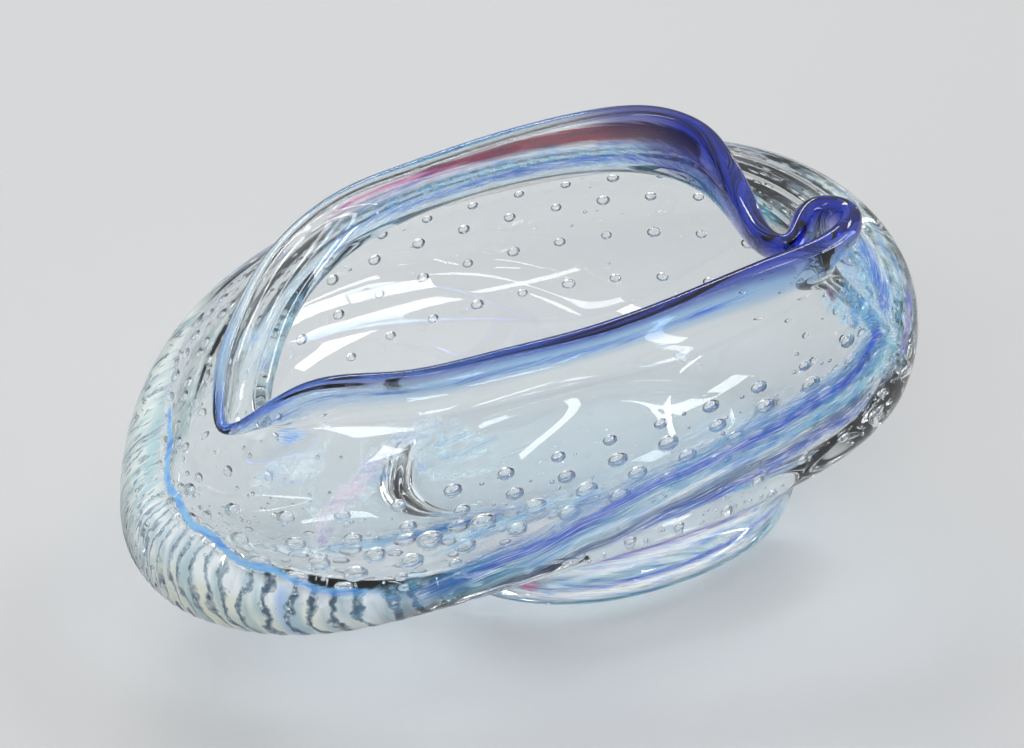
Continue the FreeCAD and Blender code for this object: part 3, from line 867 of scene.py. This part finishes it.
def makeFloor():
    bm = bmesh.new()
    bmesh.ops.create_grid(bm, x_segments=1, y_segments=1, size=studio["floorHalf"])
    mesh = bpy.data.meshes.new("floor")
    bm.to_mesh(mesh)
    bm.free()
    mesh.transform(Matrix.Translation((0, 0, -studio["floorGap"])))
    floor = bpy.data.objects.new("floor", mesh)
    bpy.context.collection.objects.link(floor)
    material = bpy.data.materials.new("floorPaint")
    material.use_nodes = True
    shader = material.node_tree.nodes["Principled BSDF"]
    shader.inputs["Base Color"].default_value = studio["floorColour"]
    shader.inputs["Roughness"].default_value = studio["floorRoughness"]
    mesh.materials.append(material)


def makeWorld():
    world = bpy.data.worlds.new("studio")
    tree, node = nodeMaker(world)
    ways = node("TexCoord").outputs["Generated"]
    height = node("SeparateXYZ", {"Vector": ways}).outputs["Z"]
    ranged = shorthand(node)[3]
    strength = ranged(height, (0.0, studio["zenithFrom"]), studio["horizon"], studio["zenith"])
    back = tree.nodes["Background"]
    back.inputs["Color"].default_value = studio["roomColour"]
    tree.links.new(strength, back.inputs["Strength"])
    bpy.context.scene.world = world


def makeLamp(name, start, end, width, brightness, onlyGloss=False, fill=False):
    start, end = Vector(start), Vector(end)
    run = end - start
    middle = (start + end) / 2
    along = run.normalized()
    back = middle - Vector(studio["lampAim"])
    back = (back - along * back.dot(along)).normalized()
    lamp = bpy.data.lights.new(name, "AREA")
    lamp.shape = "RECTANGLE"
    lamp.size, lamp.size_y = run.length, width
    lamp.energy = brightness * math.pi * run.length * width
    lampObject = bpy.data.objects.new(name, lamp)
    turned = Matrix((along, back.cross(along), back)).transposed().to_4x4()
    lampObject.matrix_world = Matrix.Translation(middle) @ turned
    lampObject.visible_camera = False
    lampObject.visible_diffuse = not onlyGloss
    lampObject.visible_glossy = lampObject.visible_transmission = not fill
    bpy.context.collection.objects.link(lampObject)


def makeLamps():
    for number, lamp in enumerate(studio["softLamps"]):
        makeLamp(f"softLamp{number + 1}", *lamp)
    for number, lamp in enumerate(studio["fillLamps"]):
        makeLamp(f"fillLamp{number + 1}", *lamp, fill=True)
    for number, lamp in enumerate(studio["windows"]):
        makeLamp(f"window{number + 1}", *lamp, onlyGloss=True)


def makeCamera():
    target = Vector(studio["target"]) * mm
    turn, rise = math.radians(studio["turn"]), math.radians(studio["rise"])
    back = Vector((math.sin(turn) * math.cos(rise), -math.cos(turn) * math.cos(rise), math.sin(rise)))
    camera = bpy.data.objects.new("camera", bpy.data.cameras.new("camera"))
    camera.data.lens = studio["lens"]
    camera.location = target + back * studio["distance"] * mm
    camera.rotation_euler = back.to_track_quat("Z", "Y").to_euler()
    bpy.context.collection.objects.link(camera)
    bpy.context.scene.camera = camera


print("studio")
makeFloor()
makeWorld()
makeLamps()
makeCamera()
bpy.context.scene.view_settings.view_transform = "Standard"
bpy.context.scene.cycles.max_bounces = studio["bounces"]
bpy.context.scene.cycles.transmission_bounces = studio["bounces"]
bpy.context.scene.cycles.transparent_max_bounces = studio["clearBounces"]
